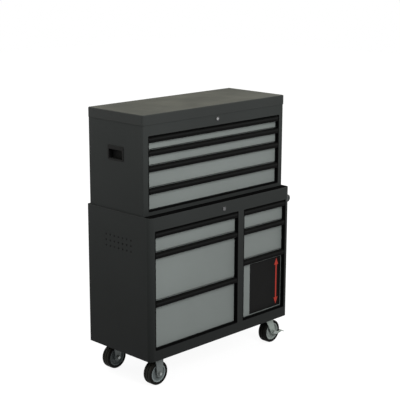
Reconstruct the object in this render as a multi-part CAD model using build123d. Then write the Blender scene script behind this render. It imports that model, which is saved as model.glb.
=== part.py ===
from build123d import *
from dataclasses import dataclass
import os

# A rolling tool chest: a cabinet of six drawers on casters, with a lidded chest of four drawers on top.
# Sizes are in millimetres. The pieces are built about the cabinet's middle plane (x = 0), the face of
# its front frame (y = 0, with the back at +Y) and the floor (z = 0). At the end they all move together,
# so that the middle of the underside of the whole object is the origin.

# Sheet steel
SHEET = 1.5
TRAY_SHEET = 1.2
BASE_SHEET = 3.0
FRAME_DEPTH = 30.0
BACK_CORNER = 6.0

# Cabinet
CAB_W = 1041.0
CAB_D = 470.0
CAB_H = 737.0
CAB_CORNER = 25.0
CAB_JAMB = 35.5
CAB_RAIL = 59.0
CAB_HEADER = 69.0
POST_W = 49.0
RIGHT_BANK_W = 330.0

# Chest
CHEST_SIDE_GAP = 7.0
CHEST_BACK_GAP = 12.0
CHEST_H = 450.0
CHEST_SETBACK = 52.0
CHEST_CORNER = 8.0
CHEST_JAMB = 36.5
CHEST_RAIL = 23.0
CHEST_HEADER = 57.0

# Lid and its hinge
LID_H = 50.0
LID_PROUD = 3.0
LID_EDGE = 5.0
LID_BACK_CORNER = 8.0
LID_LAP = 6.0
LID_LAP_END = 16.0
SEAM_GAP = 0.5
HINGE_INSET = 33.5
HINGE_KNUCKLES = 16
KNUCKLE_R = 4.0
HINGE_PIN_R = 2.0
LEAF_SHEET = 1.2
LEAF_H = 20.0
LEAF_NOTCH = 6.0
KNUCKLE_GAP = 0.6

# Drawers, with front heights from the top down; the lowest front of each bank fills what is left
CHEST_FRONTS = (62.0, 74.0, 107.0)
LEFT_FRONTS = (102.0, 245.5)
RIGHT_FRONTS = (102.0, 165.0)
FRONT_GAP = 4.0
FRONT_SIDE_GAP = 3.0
FRONT_RECESS = 20.0
FRONT_DEPTH = 12.0
FRONT_EDGE = 2.0
TRAY_LIFT = 4.0
TRAY_DROP = 10.0

# Pulls
PULL_LIP = 28.0
PULL_BACK = 31.0
PULL_WALL = 2.2
PULL_EDGE = 5.0

# Slides: three nested channels, and the room left free behind them
SLIDE_H = 35.0
SLIDE_W = 12.7
SLIDE_SHEET = 1.2
SLIDE_GAP = 0.4
SLIDE_START = 45.0
SLIDE_SHORT = 0.8
CAB_SLIDE_BACK = 25.0
CHEST_SLIDE_BACK = 11.0
UPRIGHT_W = 40.0
UPRIGHT_INSET = 5.0

# Push handle on the right side
HANDLE_REACH = 66.0
HANDLE_Y = 62.0
HANDLE_DROP = 81.0
HANDLE_TUBE_R = 15.0
HANDLE_BOSS_R = 21.0
HANDLE_BOSS_L = 26.0
HANDLE_CAP = 5.0
HANDLE_FOOT_H = 64.0
HANDLE_FOOT = 4.0

# Recessed grips in the chest sides
GRIP_Y = 200.0
GRIP_L = 104.0
GRIP_H = 62.0
GRIP_RISE = 261.0
GRIP_DEPTH = 28.0
GRIP_WALL = 2.0
GRIP_FLANGE = 6.0
GRIP_LIP = 14.0

# Vents in the cabinet's left side
VENT_D = 11.0
VENT_PITCH = 31.0
VENT_ROW_PITCH = 29.0
VENT_COLUMNS = 7
VENT_ROWS = 3
VENT_Y = 139.0
VENT_RISE = 606.0

# Locks
CHEST_LOCK_DROP = 22.0
CAB_LOCK_DROP = 34.5
LOCK_BEZEL_R = 12.0
LOCK_PROUD = 3.0
LOCK_BARREL_R = 9.5
LOCK_BARREL_L = 22.0
LOCK_PLUG_R = 7.0
LOCK_SINK = 0.8
LOCK_SLOT = 1.6
CAM_L = 20.0
CAM_W = 10.0
CAM_SHEET = 2.0

# Casters
CASTER_H = 158.0
CASTER_SIDE = 100.0
CASTER_INSET = 75.0
CASTER_TRAIL = 34.0
PLATE_L = 100.0
PLATE_W = 86.0
PLATE_T = 4.0
BOLT_X = 38.0
BOLT_Y = 32.0
BOLT_R = 4.0
BOLT_HEAD = 13.0
BOLT_HEAD_T = 5.0
WHEEL_R = 63.5
WHEEL_W = 52.0
TREAD_EDGE = 9.0
HUB_R = 48.0
RIM_W = 46.0
RIM_IN_R = 41.0
BOSS_R = 14.0
BOSS_W = 57.0
WEB_T = 34.0
AXLE_R = 6.0
AXLE_HEAD_R = 10.0
AXLE_HEAD_T = 5.0
LEG_T = 4.0
LEG_R = 19.0
LEG_TOP = 27.0
FORK_LEG_R = 15.0
RACE_R = 36.0
RACE_T = 6.0
CROWN_T = 5.0
KINGPIN_R = 8.0
KINGPIN_HEAD_R = 13.0
KINGPIN_HEAD_T = 5.0
LEVER_HEEL = (66.0, -22.0)
LEVER_BEND = (83.0, -13.0)
LEVER_TIP = (98.0, 3.0)
LEVER_BOSS_R = 12.0
LEVER_ARM_R = 6.0
LEVER_ARM_T = 3.0
LEVER_PLATE_R = 1.6

# Fits
RUN_FIT = 0.05
SIDE_FIT = 0.4
BOLT_FIT = 0.4
HINGE_FIT = 0.3

# Levels and planes that follow from the sizes above
CAB_Z0 = CASTER_H
CAB_Z1 = CAB_Z0 + CAB_H
SEAM_Z = CAB_Z1 + CHEST_H
LID_Z1 = SEAM_Z + LID_H
LAP_Z = SEAM_Z + LID_LAP
CHEST_W = CAB_W - 2 * CHEST_SIDE_GAP
CHEST_Y0 = CHEST_SETBACK
CHEST_Y1 = CAB_D - CHEST_BACK_GAP
CAB_OPEN_X = CAB_W / 2 - CAB_JAMB
CAB_OPEN_Z0 = CAB_Z0 + CAB_RAIL
CAB_OPEN_Z1 = CAB_Z1 - CAB_HEADER
CAB_LEVELS = (CAB_OPEN_Z0, CAB_OPEN_Z1)
POST_RIGHT = CAB_OPEN_X - RIGHT_BANK_W
POST_LEFT = POST_RIGHT - POST_W
CHEST_OPEN_X = CHEST_W / 2 - CHEST_JAMB
CHEST_OPEN_Z0 = CAB_Z1 + CHEST_RAIL
CHEST_OPEN_Z1 = SEAM_Z - CHEST_HEADER
CHEST_LEVELS = (CHEST_OPEN_Z0, CHEST_OPEN_Z1)
CAB_SLIDE = CAB_D - CAB_SLIDE_BACK - SLIDE_START
CHEST_SLIDE = CHEST_Y1 - CHEST_SLIDE_BACK - CHEST_Y0 - SLIDE_START
HINGE_LENGTH = CHEST_W - 2 * HINGE_INSET
HINGE_Y = CHEST_Y1 + KNUCKLE_R + HINGE_FIT
HANDLE_X = CAB_W / 2 + HANDLE_REACH - HANDLE_BOSS_R
HANDLE_Z = CAB_Z1 - HANDLE_DROP
HANDLE_ENDS = (HANDLE_Y, CAB_D - HANDLE_Y)
CASTER_X = CAB_W / 2 - CASTER_SIDE
CASTER_YS = (CASTER_INSET, CAB_D - CASTER_INSET)
PLATE_Z0 = CASTER_H - PLATE_T
RACE_Z0 = PLATE_Z0 - RACE_T
CROWN_Z1 = RACE_Z0 - SIDE_FIT
CROWN_Z0 = CROWN_Z1 - CROWN_T
LEG_Y = BOSS_W / 2 + SIDE_FIT
LEVER_Y = LEG_Y + LEG_T + SIDE_FIT
CHEST_LOCK_Z = SEAM_Z - CHEST_LOCK_DROP
CAB_LOCK_Z = CAB_Z1 - CAB_LOCK_DROP
GRIP_Z0 = CAB_Z1 + GRIP_RISE
ORIGIN_X = HANDLE_REACH / 2
ORIGIN_Y = (CAB_D - LOCK_PROUD) / 2


@dataclass
class Drawer:
    """One drawer: the bank it sits in, its opening's sides and face, its front's height and its slides."""

    bank: str
    number: int
    x0: float
    x1: float
    face: float
    z0: float
    z1: float
    slide: float

    @property
    def tray_z0(self):
        return self.z0 + TRAY_LIFT

    @property
    def tray_z1(self):
        return self.z1 - TRAY_DROP

    @property
    def slide_z(self):
        return (self.tray_z0 + self.tray_z1) / 2

    @property
    def tray_y0(self):
        return self.face + FRONT_RECESS + FRONT_DEPTH

    @property
    def slide_y0(self):
        return self.face + SLIDE_START

    @property
    def slide_y1(self):
        return self.slide_y0 + self.slide


def bank(name, sides, face, levels, upper, slide):
    """The drawers that fill one opening, from the top down."""
    x0, x1 = sides
    z0, z1 = levels
    lowest = z1 - z0 - sum(upper) - FRONT_GAP * (len(upper) + 2)
    drawers = []
    top = z1 - FRONT_GAP
    for number, height in enumerate([*upper, lowest], start=1):
        drawers.append(Drawer(name, number, x0, x1, face, top - height, top, slide))
        top -= height + FRONT_GAP
    return drawers


DRAWERS = [
    *bank("chest", (-CHEST_OPEN_X, CHEST_OPEN_X), CHEST_Y0, CHEST_LEVELS, CHEST_FRONTS, CHEST_SLIDE),
    *bank("left", (-CAB_OPEN_X, POST_LEFT), 0.0, CAB_LEVELS, LEFT_FRONTS, CAB_SLIDE),
    *bank("right", (POST_RIGHT, CAB_OPEN_X), 0.0, CAB_LEVELS, RIGHT_FRONTS, CAB_SLIDE),
]


def block(x0, x1, y0, y1, z0, z1):
    """A box between two corners."""
    return Pos((x0 + x1) / 2, (y0 + y1) / 2, (z0 + z1) / 2) * Box(x1 - x0, y1 - y0, z1 - z0)


def rod_y(radius, x, y0, y1, z):
    """A round bar along Y."""
    return Pos(x, (y0 + y1) / 2, z) * Rot(90, 0, 0) * Cylinder(radius, y1 - y0)


def rod_x(radius, x0, x1, y, z):
    """A round bar along X."""
    return Pos((x0 + x1) / 2, y, z) * Rot(0, 90, 0) * Cylinder(radius, x1 - x0)


def rod_z(radius, x, y, z0, z1):
    """A round bar along Z."""
    return Pos(x, y, (z0 + z1) / 2) * Cylinder(radius, z1 - z0)


def upright_edges(shape, back):
    """The vertical edges along the front or the back of a block."""
    return shape.edges().filter_by(Axis.Z).group_by(Axis.Y)[-1 if back else 0]


def front_frame(width, z0, z1, face, corner, openings, lock_z):
    """A pressed front frame, open at its back, with returned edges all round and round each opening."""

    def pressing(inset, y0, y1):
        half = width / 2 - inset
        body = block(-half, half, y0, y1, z0 + inset, z1 - inset)
        body = fillet(upright_edges(body, False), corner - inset)
        for x0, x1, low, high in openings:
            body -= block(x0 - inset, x1 + inset, y0 - 1, y1 + 1, low - inset, high + inset)
        return body

    frame = pressing(0, face, face + FRAME_DEPTH) - pressing(SHEET, face + SHEET, face + FRAME_DEPTH + 1)
    return frame - rod_y(LOCK_BARREL_R + RUN_FIT, 0, face - 1, face + SHEET + 1, lock_z)


def wrap(width, y0, y1, z0, z1):
    """The sheet that wraps round both sides and the back, open at the front, top and bottom."""
    half = width / 2
    outer = block(-half, half, y0, y1, z0, z1)
    outer = fillet(upright_edges(outer, True), BACK_CORNER)
    inner = block(-half + SHEET, half - SHEET, y0 - 1, y1 - SHEET, z0 - 1, z1 + 1)
    inner = fillet(upright_edges(inner, True), BACK_CORNER - SHEET)
    return outer - inner


def pan(width, y0, y1, z0, z1):
    """A flat pan that fits inside a wrap."""
    plate = block(-width / 2 + SHEET, width / 2 - SHEET, y0, y1 - SHEET, z0, z1)
    return fillet(upright_edges(plate, True), BACK_CORNER)


def uprights(width, open_x, slide_y0, slide_y1, z0, z1):
    """Four hat-section posts that carry the slides, two on each side wall."""
    wall = width / 2 - SHEET
    posts = []
    for y0 in (slide_y0 + UPRIGHT_INSET, slide_y1 - UPRIGHT_INSET - UPRIGHT_W):
        y1 = y0 + UPRIGHT_W
        post = block(-wall, -open_x, y0, y1, z0, z1)
        post -= block(-wall - 1, -open_x - SHEET, y0 + SHEET, y1 - SHEET, z0 - 1, z1 + 1)
        posts += [post, post.mirror(Plane.YZ)]
    return posts


def cabinet_shell():
    """Cabinet sides and back, with vents in the left side, and the slide uprights."""
    shell = wrap(CAB_W, FRAME_DEPTH, CAB_D, CAB_Z0, CAB_Z1)
    for column in range(VENT_COLUMNS):
        for row in range(VENT_ROWS):
            y = VENT_Y + column * VENT_PITCH
            z = CAB_Z0 + VENT_RISE - row * VENT_ROW_PITCH
            shell -= rod_x(VENT_D / 2, -CAB_W / 2 - 1, -CAB_W / 2 + SHEET + 1, y, z)
    start = SLIDE_START
    end = start + CAB_SLIDE
    return [shell, *uprights(CAB_W, CAB_OPEN_X, start, end, CAB_Z0 + BASE_SHEET, CAB_Z1 - SHEET)]


def cabinet_front_frame():
    """Cabinet front frame: header, bottom rail, two jambs and a centre post."""
    openings = [
        (-CAB_OPEN_X, POST_LEFT, CAB_OPEN_Z0, CAB_OPEN_Z1),
        (POST_RIGHT, CAB_OPEN_X, CAB_OPEN_Z0, CAB_OPEN_Z1),
    ]
    return [front_frame(CAB_W, CAB_Z0, CAB_Z1, 0, CAB_CORNER, openings, CAB_LOCK_Z)]


def cabinet_pans():
    """Cabinet floor with the caster bolt holes, and cabinet top."""
    floor = pan(CAB_W, FRAME_DEPTH, CAB_D, CAB_Z0, CAB_Z0 + BASE_SHEET)
    for x, y in bolt_places():
        floor -= rod_z(BOLT_R + BOLT_FIT, x, y, CAB_Z0 - 1, CAB_Z0 + BASE_SHEET + 1)
    top = pan(CAB_W, FRAME_DEPTH, CAB_D, CAB_Z1 - SHEET, CAB_Z1)
    return [floor, top]


def cabinet_divider():
    """The hollow wall between the two banks, behind the centre post."""
    z0 = CAB_Z0 + BASE_SHEET
    z1 = CAB_Z1 - SHEET
    y1 = CAB_D - SHEET
    wall = block(POST_LEFT, POST_RIGHT, FRAME_DEPTH, y1, z0, z1)
    hollow = block(POST_LEFT + SHEET, POST_RIGHT - SHEET, FRAME_DEPTH + SHEET, y1 - SHEET, z0 - 1, z1 + 1)
    return [wall - hollow]


def chest_shell():
    """Chest sides and back; the sides rise inside the lid, the back stops under it."""
    y0 = CHEST_Y0 + FRAME_DEPTH
    shell = wrap(CHEST_W, y0, CHEST_Y1, CAB_Z1, LAP_Z)
    half = CHEST_W / 2 + 1
    shell -= block(-half, half, CHEST_Y1 - LID_LAP_END, CHEST_Y1 + 1, SEAM_Z - SEAM_GAP, LAP_Z + 1)
    y1 = GRIP_Y + GRIP_L
    z1 = GRIP_Z0 + GRIP_H
    fit = SIDE_FIT
    shell -= block(-half, half, GRIP_Y - fit, y1 + fit, GRIP_Z0 - fit, z1 + fit)
    start = CHEST_Y0 + SLIDE_START
    end = start + CHEST_SLIDE
    return [shell, *uprights(CHEST_W, CHEST_OPEN_X, start, end, CAB_Z1 + SHEET, CHEST_OPEN_Z1)]


def chest_front_frame():
    """Chest front frame with one opening."""
    openings = [(-CHEST_OPEN_X, CHEST_OPEN_X, CHEST_OPEN_Z0, CHEST_OPEN_Z1)]
    return [front_frame(CHEST_W, CAB_Z1, LAP_Z, CHEST_Y0, CHEST_CORNER, openings, CHEST_LOCK_Z)]


def chest_floors():
    """Chest floor, and the till floor above the drawers."""
    y0 = CHEST_Y0 + FRAME_DEPTH
    floor = pan(CHEST_W, y0, CHEST_Y1, CAB_Z1, CAB_Z1 + SHEET)
    till = pan(CHEST_W, y0, CHEST_Y1, CHEST_OPEN_Z1, CHEST_OPEN_Z1 + SHEET)
    return [floor, till]


def slide_member(level, length):
    """One channel of a left-hand slide, from the carcass wall at x = 0 toward the drawer at +X.

    Level 0 is the outer channel, 1 the middle one and 2 the inner one, whose web lies on the drawer.
    """
    step = SLIDE_SHEET + SLIDE_GAP
    half = SLIDE_H / 2 - level * step
    x0 = level * step
    x1 = SLIDE_W if level == 2 else SLIDE_W - SLIDE_SHORT
    body = block(x0, x1, 0, length, -half, half)
    room = half - SLIDE_SHEET
    if level == 2:
        return body - block(x0 - 1, x1 - SLIDE_SHEET, -1, length + 1, -room, room)
    return body - block(x0 + SLIDE_SHEET, x1 + 1, -1, length + 1, -room, room)


def slide_pair(drawer, level):
    """The left and right channels of one level of a drawer's slides."""
    left = slide_member(level, drawer.slide)
    right = left.mirror(Plane.YZ)
    return [
        Pos(drawer.x0, drawer.slide_y0, drawer.slide_z) * left,
        Pos(drawer.x1, drawer.slide_y0, drawer.slide_z) * right,
    ]


def drawer_box(drawer):
    """A tray with a pan-formed front, and its two inner slide channels."""
    x0 = drawer.x0 + FRONT_SIDE_GAP
    x1 = drawer.x1 - FRONT_SIDE_GAP
    y0 = drawer.face + FRONT_RECESS
    y1 = drawer.tray_y0
    t = TRAY_SHEET
    front = block(x0, x1, y0, y1, drawer.z0, drawer.z1)
    front = fillet(front.faces().sort_by(Axis.Y)[0].edges(), FRONT_EDGE)
    front -= block(x0 + t, x1 - t, y0 + t, y1 + 1, drawer.z0 + t, drawer.z1 - t)
    liner = block(x0, x1, y1, y1 + t, drawer.z0, drawer.tray_z1)
    left = drawer.x0 + SLIDE_W
    right = drawer.x1 - SLIDE_W
    tray = block(left, right, y1, drawer.slide_y1, drawer.tray_z0, drawer.tray_z1)
    tray -= block(left + t, right - t, y1 + t, drawer.slide_y1 - t, drawer.tray_z0 + t, drawer.tray_z1 + 1)
    return [front + liner + tray, *slide_pair(drawer, 2)]


def pull(drawer):
    """A full-width pull: a plate on the drawer front, a web forward along its top and a lip hanging down."""
    x0 = drawer.x0 + FRONT_SIDE_GAP
    x1 = drawer.x1 - FRONT_SIDE_GAP
    y0 = drawer.face
    y1 = drawer.face + FRONT_RECESS
    top = drawer.z1
    body = block(x0, x1, y0, y1, top - PULL_BACK, top)
    body = fillet(body.edges().filter_by(Axis.X).group_by(Axis.Z)[-1].sort_by(Axis.Y)[0], PULL_EDGE)
    gap = block(x0 - 1, x1 + 1, y0 + PULL_WALL, y1 - PULL_WALL, top - PULL_BACK - 1, top - PULL_WALL)
    gap = fillet(gap.edges().filter_by(Axis.X).group_by(Axis.Z)[-1].sort_by(Axis.Y)[0], PULL_EDGE - PULL_WALL)
    short = block(x0 - 1, x1 + 1, y0 - 1, y1 - PULL_WALL, top - PULL_BACK - 1, top - PULL_LIP)
    return [body - gap - short]


def hinge_leaf(side):
    """A hinge leaf with every other knuckle; side is -1 for the chest's leaf and 1 for the lid's."""
    x0 = -HINGE_LENGTH / 2
    near = SEAM_Z + side * LEAF_NOTCH
    far = SEAM_Z + side * LEAF_H
    y0 = CHEST_Y1
    leaf = block(x0, -x0, y0, y0 + LEAF_SHEET, min(near, far), max(near, far))
    pitch = HINGE_LENGTH / HINGE_KNUCKLES
    for number in range(0 if side < 0 else 1, HINGE_KNUCKLES, 2):
        a = x0 + number * pitch + KNUCKLE_GAP / 2
        b = x0 + (number + 1) * pitch - KNUCKLE_GAP / 2
        leaf += block(a, b, y0, y0 + LEAF_SHEET, min(SEAM_Z, near), max(SEAM_Z, near))
        leaf += rod_x(KNUCKLE_R, a, b, HINGE_Y, SEAM_Z)
    return leaf - rod_x(HINGE_PIN_R + RUN_FIT, x0 - 1, 1 - x0, HINGE_Y, SEAM_Z)


def lid_hinge():
    """The hinge leaf on the chest's back, and the hinge pin."""
    pin = rod_x(HINGE_PIN_R, -HINGE_LENGTH / 2, HINGE_LENGTH / 2, HINGE_Y, SEAM_Z)
    return [hinge_leaf(-1), pin]


def chest_lid():
    """The pressed lid, and its own hinge leaf."""

    def pressing(inset, z0):
        half = CHEST_W / 2 + LID_PROUD - inset
        body = block(-half, half, CHEST_Y0 - LID_PROUD + inset, CHEST_Y1 - inset, z0, LID_Z1 - inset)
        body = fillet(upright_edges(body, False), CHEST_CORNER + LID_PROUD - inset)
        body = fillet(upright_edges(body, True), LID_BACK_CORNER - inset)
        return fillet(body.faces().sort_by(Axis.Z)[-1].edges(), LID_EDGE - inset)

    return [pressing(0, SEAM_Z) - pressing(SHEET, SEAM_Z - 1), hinge_leaf(1)]


def chest_grips():
    """A recessed finger cup for each side of the chest, with a lip across its upper part."""
    face = -CHEST_W / 2
    y1 = GRIP_Y + GRIP_L
    z1 = GRIP_Z0 + GRIP_H
    f = GRIP_FLANGE
    w = GRIP_WALL
    cup = block(face - w, face, GRIP_Y - f, y1 + f, GRIP_Z0 - f, z1 + f)
    cup = fillet(cup.edges().filter_by(Axis.X), f)
    cup += block(face, face + GRIP_DEPTH, GRIP_Y, y1, GRIP_Z0, z1)
    cup -= block(face, face + GRIP_DEPTH - w, GRIP_Y + w, y1 - w, GRIP_Z0 + w, z1 - w)
    cup -= block(face - w - 1, face, GRIP_Y + w, y1 - w, GRIP_Z0 + w, z1 - GRIP_LIP)
    return [cup, cup.mirror(Plane.YZ)]


def push_handle():
    """The push handle's tube, and the two brackets that hold its ends."""
    side = CAB_W / 2
    half = HANDLE_BOSS_L / 2
    arm = HANDLE_TUBE_R
    brackets = []
    for y, end in zip(HANDLE_ENDS, (-1, 1)):
        boss = rod_y(HANDLE_BOSS_R, HANDLE_X, y - half, y + half, HANDLE_Z)
        boss = fillet(boss.edges().sort_by(Axis.Y)[-1 if end > 0 else 0], HANDLE_CAP)
        z0 = HANDLE_Z - HANDLE_FOOT_H / 2
        z1 = HANDLE_Z + HANDLE_FOOT_H / 2
        foot = block(side, side + HANDLE_FOOT, y - half, y + half, z0, z1)
        foot = fillet(foot.edges().filter_by(Axis.X), HANDLE_CAP)
        neck = block(side, HANDLE_X, y - half, y + half, HANDLE_Z - arm, HANDLE_Z + arm)
        socket = (y - half - 1, y + half - HANDLE_CAP) if end > 0 else (y - half + HANDLE_CAP, y + half + 1)
        bracket = boss + foot + neck
        brackets.append(bracket - rod_y(HANDLE_TUBE_R + RUN_FIT, HANDLE_X, *socket, HANDLE_Z))
    y0 = HANDLE_ENDS[0] - half + HANDLE_CAP
    y1 = HANDLE_ENDS[1] + half - HANDLE_CAP
    return [rod_y(HANDLE_TUBE_R, HANDLE_X, y0, y1, HANDLE_Z), *brackets]


def lock_housings():
    """The two lock housings, each a bezel on the header and a barrel through it."""
    housings = []
    for face, z in ((CHEST_Y0, CHEST_LOCK_Z), (0, CAB_LOCK_Z)):
        bezel = rod_y(LOCK_BEZEL_R, 0, face - LOCK_PROUD, face, z)
        bezel = fillet(bezel.edges().sort_by(Axis.Y)[0], LOCK_PROUD / 2)
        body = bezel + rod_y(LOCK_BARREL_R, 0, face, face + LOCK_BARREL_L, z)
        housings.append(body - rod_y(LOCK_PLUG_R + RUN_FIT, 0, face - 9, face + LOCK_BARREL_L + 1, z))
    return housings


def lock_plug(face, z):
    """A key plug with its slot, and the cam on its tail."""
    front = face - LOCK_PROUD + LOCK_SINK
    tail = face + LOCK_BARREL_L + SIDE_FIT
    plug = rod_y(LOCK_PLUG_R, 0, front, tail, z)
    reach = LOCK_PLUG_R * 0.7
    plug -= block(-LOCK_SLOT / 2, LOCK_SLOT / 2, front - 1, front + reach, z - reach, z + reach)
    return [plug + block(-CAM_W / 2, CAM_W / 2, tail, tail + CAM_SHEET, z - CAM_L, z + CAM_W / 2)]


def bolt_places():
    """Where the four bolts of each caster stand."""
    places = []
    for x in (-CASTER_X, CASTER_X):
        for y in CASTER_YS:
            places += [(x + i * BOLT_X, y + j * BOLT_Y) for i in (-1, 1) for j in (-1, 1)]
    return places


def caster_bolts():
    """Hexagon bolts up through the caster plates and the cabinet floor, each with its nut on top."""
    bolts = []
    top = CAB_Z0 + BASE_SHEET
    for x, y in bolt_places():
        head = Pos(x, y, PLATE_Z0 - BOLT_HEAD_T) * extrude(RegularPolygon(BOLT_HEAD / 2, 6), BOLT_HEAD_T)
        nut = Pos(x, y, top) * extrude(RegularPolygon(BOLT_HEAD / 2, 6), BOLT_HEAD_T)
        bolts.append(head + nut + rod_z(BOLT_R, x, y, PLATE_Z0, top))
    return bolts


def caster_plate(x, y):
    """A caster's top plate with its four bolt holes."""
    plate = block(x - PLATE_L / 2, x + PLATE_L / 2, y - PLATE_W / 2, y + PLATE_W / 2, PLATE_Z0, CASTER_H)
    plate = fillet(plate.edges().filter_by(Axis.Z), 2 * PLATE_T)
    for i in (-1, 1):
        for j in (-1, 1):
            hole_y = y + j * BOLT_Y
            plate -= rod_z(BOLT_R + BOLT_FIT, x + i * BOLT_X, hole_y, PLATE_Z0 - 1, CASTER_H + 1)
    return plate


def leg(top_z, top_x, axle_x, radius):
    """A flat fork leg at y = 0: the outline drawn tight round its top edge and round its axle end."""
    edges = [Line((top_x - LEG_TOP, top_z), (top_x + LEG_TOP, top_z))]
    edges += (Pos(axle_x, WHEEL_R) * Circle(radius)).edges()
    return extrude(Plane.XZ * make_hull(edges), LEG_T)


def axle(x, y, outside):
    """An axle bolt through a fork, with a head at each end that seats at a distance outside from y."""
    bar = rod_y(AXLE_R, x, y - outside, y + outside, WHEEL_R)
    for end in (-1, 1):
        a = y + end * outside
        b = a + end * AXLE_HEAD_T
        bar += rod_y(AXLE_HEAD_R, x, min(a, b), max(a, b), WHEEL_R)
    return bar


def legs(x, y, top_z, top_x, radius):
    """Both legs of a fork, bored for the axle."""
    plate = leg(top_z, top_x, x, radius)
    outside = LEG_Y + LEG_T
    pair = Pos(0, y - LEG_Y, 0) * plate + Pos(0, y + outside, 0) * plate
    return pair - rod_y(AXLE_R + RUN_FIT, x, y - outside - 1, y + outside + 1, WHEEL_R)


def rigid_caster_brackets():
    """The two rigid casters' brackets, plate and legs in one, and their axles."""
    pieces = []
    for y in CASTER_YS:
        x = -CASTER_X
        bracket = caster_plate(x, y) + legs(x, y, PLATE_Z0, x, LEG_R)
        pieces += [bracket, axle(x, y, LEG_Y + LEG_T)]
    return pieces


def swivel_caster_plates():
    """The two swivel casters' plates, each with its upper race and kingpin."""
    pieces = []
    for y in CASTER_YS:
        x = CASTER_X
        plate = caster_plate(x, y) + rod_z(RACE_R, x, y, RACE_Z0, PLATE_Z0)
        under = CROWN_Z0 - SIDE_FIT
        plate += rod_z(KINGPIN_R, x, y, under, RACE_Z0)
        plate += rod_z(KINGPIN_HEAD_R, x, y, under - KINGPIN_HEAD_T, under)
        pieces.append(plate)
    return pieces


def swivel_fork(y):
    """A swivel fork: crown, legs that trail to the axle, and an axle that carries the brake lever too."""
    x = CASTER_X + CASTER_TRAIL
    outside = LEG_Y + LEG_T
    fork = rod_z(RACE_R, CASTER_X, y, CROWN_Z0, CROWN_Z1)
    fork += block(CASTER_X - LEG_TOP, CASTER_X + LEG_TOP, y - outside, y + outside, CROWN_Z0, CROWN_Z1)
    fork += legs(x, y, CROWN_Z0, CASTER_X, FORK_LEG_R)
    fork -= rod_z(KINGPIN_R + RUN_FIT, CASTER_X, y, CROWN_Z0 - 1, CROWN_Z1 + 1)
    return [fork, axle(x, y, LEVER_Y + LEVER_ARM_T + SIDE_FIT)]


def brake_lever(y):
    """A brake lever: an arm on the axle outside each fork leg, and a foot plate across them that bends up."""
    x = CASTER_X + CASTER_TRAIL
    outer = LEVER_Y + LEVER_ARM_T

    def link(start, start_r, end, end_r, thickness):
        circles = ((start, start_r), (end, end_r))
        rims = [(Pos(x + place[0], WHEEL_R + place[1]) * Circle(radius)).edge() for place, radius in circles]
        return extrude(Plane.XZ * make_hull(rims), thickness)

    arm = link((0, 0), LEVER_BOSS_R, LEVER_HEEL, LEVER_ARM_R, LEVER_ARM_T)
    plate = link(LEVER_HEEL, LEVER_PLATE_R, LEVER_BEND, LEVER_PLATE_R, 2 * outer)
    plate += link(LEVER_BEND, LEVER_PLATE_R, LEVER_TIP, LEVER_PLATE_R, 2 * outer)
    lever = Pos(0, y - LEVER_Y, 0) * arm + Pos(0, y + outer, 0) * arm + Pos(0, y + outer, 0) * plate
    return [lever - rod_y(AXLE_R + RUN_FIT, x, y - outer - 1, y + outer + 1, WHEEL_R)]


def tyre(x, y):
    """A solid rubber tyre with rounded tread edges."""
    ring = Cylinder(WHEEL_R, WHEEL_W)
    ring = fillet(ring.edges(), TREAD_EDGE)
    ring -= Cylinder(HUB_R + RUN_FIT, WHEEL_W + 2)
    return [Pos(x, y, WHEEL_R) * Rot(90, 0, 0) * ring]


def hub(x, y):
    """A wheel hub: rim, web set back from it, and bored boss."""
    body = Cylinder(HUB_R, RIM_W)
    pocket_t = (RIM_W - WEB_T) / 2
    pocket = Cylinder(RIM_IN_R, pocket_t) - Cylinder(BOSS_R, pocket_t)
    for side in (-1, 1):
        body -= Pos(0, 0, side * (WEB_T + pocket_t) / 2) * pocket
    body += Cylinder(BOSS_R, BOSS_W)
    body -= Cylinder(AXLE_R + RUN_FIT, BOSS_W + 2)
    return [Pos(x, y, WHEEL_R) * Rot(90, 0, 0) * body]


def nodes():
    """Every node of the assembly: its name and its solids."""
    made = {
        "cabinet_shell": cabinet_shell(),
        "cabinet_front_frame": cabinet_front_frame(),
        "cabinet_pans": cabinet_pans(),
        "cabinet_divider": cabinet_divider(),
        "chest_shell": chest_shell(),
        "chest_front_frame": chest_front_frame(),
        "chest_floors": chest_floors(),
        "slide_rails": [member for drawer in DRAWERS for member in slide_pair(drawer, 0)],
        "lid_hinge": lid_hinge(),
        "chest_grips": chest_grips(),
        "push_handle": push_handle(),
        "lock_housings": lock_housings(),
        "rigid_caster_brackets": rigid_caster_brackets(),
        "swivel_caster_plates": swivel_caster_plates(),
        "caster_bolts": caster_bolts(),
        "chest_lid": chest_lid(),
        "chest_lock_plug": lock_plug(CHEST_Y0, CHEST_LOCK_Z),
        "cabinet_lock_plug": lock_plug(0, CAB_LOCK_Z),
    }
    for place, y in zip(("front", "rear"), CASTER_YS):
        made[f"swivel_fork_{place}"] = swivel_fork(y)
        made[f"brake_lever_{place}"] = brake_lever(y)
        for side, x in (("left", -CASTER_X), ("right", CASTER_X + CASTER_TRAIL)):
            made[f"tyre_{place}_{side}"] = tyre(x, y)
            made[f"hub_{place}_{side}"] = hub(x, y)
    for drawer in DRAWERS:
        made[f"{drawer.bank}_drawer_{drawer.number}"] = drawer_box(drawer)
        made[f"{drawer.bank}_pull_{drawer.number}"] = pull(drawer)
        made[f"{drawer.bank}_slide_{drawer.number}"] = slide_pair(drawer, 1)
    return made


def main():
    os.makedirs("parts", exist_ok=True)
    for name, pieces in nodes().items():
        solids = [solid for piece in pieces for solid in piece.solids()]
        export_step(Pos(-ORIGIN_X, -ORIGIN_Y, 0) * Compound(solids), f"parts/{name}.step")


if __name__ == "__main__":
    main()
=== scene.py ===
import math

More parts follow.
